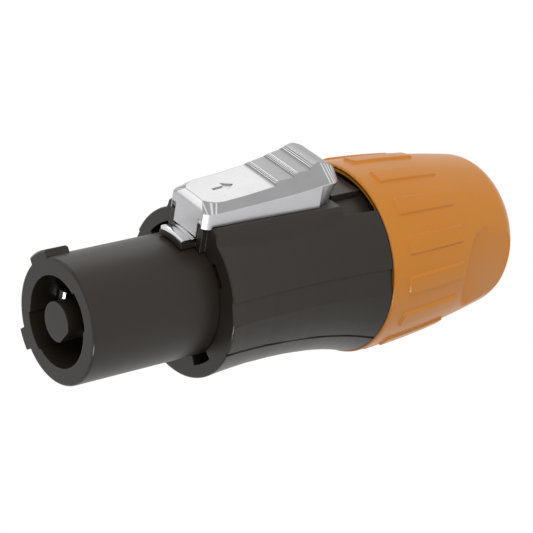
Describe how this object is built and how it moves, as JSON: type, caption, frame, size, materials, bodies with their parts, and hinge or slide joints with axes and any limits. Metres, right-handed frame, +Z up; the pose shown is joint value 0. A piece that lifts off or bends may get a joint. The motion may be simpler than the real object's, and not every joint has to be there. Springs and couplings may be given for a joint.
{
  "type": "twist-lock power connector",
  "caption": "Twist-lock cable plug: round nose with lugs, black housing with a sliding thumb latch, and a ribbed orange cable bushing that closes a strain-relief chuck.",
  "frame": {"origin": "on the plug's axis, in the plane of the nose's front face", "axes": "+X along the plug's axis towards the cable, +Z up through the thumb latch, the nose's front faces -X"},
  "size_m": [0.0848, 0.0324, 0.0372],
  "materials": {
    "nose_plastic": "fine satin moulding",
    "shell_plastic": "fine satin moulding",
    "retainer_plastic": "satin moulding",
    "chuck_plastic": "satin moulding",
    "bushing_plastic": "satin orange moulding",
    "latch_metal": "satin nickel over a zinc casting",
    "plate_steel": "bright rolled",
    "spring_steel": "drawn wire",
    "screw_steel": "zinc plated",
    "contact_brass": "silver plated strip",
    "clamp_brass": "machined"
  },
  "bodies": {
    "housing": {"shell": "shell_plastic", "insert": "nose_plastic", "contact_line": "contact_brass", "contact_neutral": "contact_brass", "contact_earth": "contact_brass", "clamp_line": "clamp_brass", "clamp_neutral": "clamp_brass", "clamp_earth": "clamp_brass", "screw_line": "screw_steel", "screw_neutral": "screw_steel", "screw_earth": "screw_steel", "retainer": "retainer_plastic", "latch_keeper": "shell_plastic", "spring_guide": "spring_steel", "latch_spring": "spring_steel"},
    "latch": {"latch": "latch_metal", "lock_plate": "plate_steel"},
    "chuck": {"chuck": "chuck_plastic"},
    "bushing": {"bushing": "bushing_plastic"}
  },
  "joints": [
    {"name": "latch_slide", "type": "slide", "parent": "housing", "child": "latch", "axis": [1, 0, 0], "range_m": [0, 0.0034], "stiffness_N_per_m": 600, "springref_m": -0.0035, "deforming": ["latch_spring"]},
    {"name": "chuck_slide", "type": "slide", "parent": "housing", "child": "chuck", "axis": [1, 0, 0], "range_m": [0, 0.008]},
    {"name": "bushing_turn", "type": "hinge", "parent": "chuck", "child": "bushing", "pos_m": [0.06, 0, 0], "axis": [1, 0, 0], "range_deg": [0, 1446]}
  ],
  "couplings": [
    {"joint": "bushing_turn", "follows": "chuck_slide", "rad_per_m": 3141.6}
  ]
}
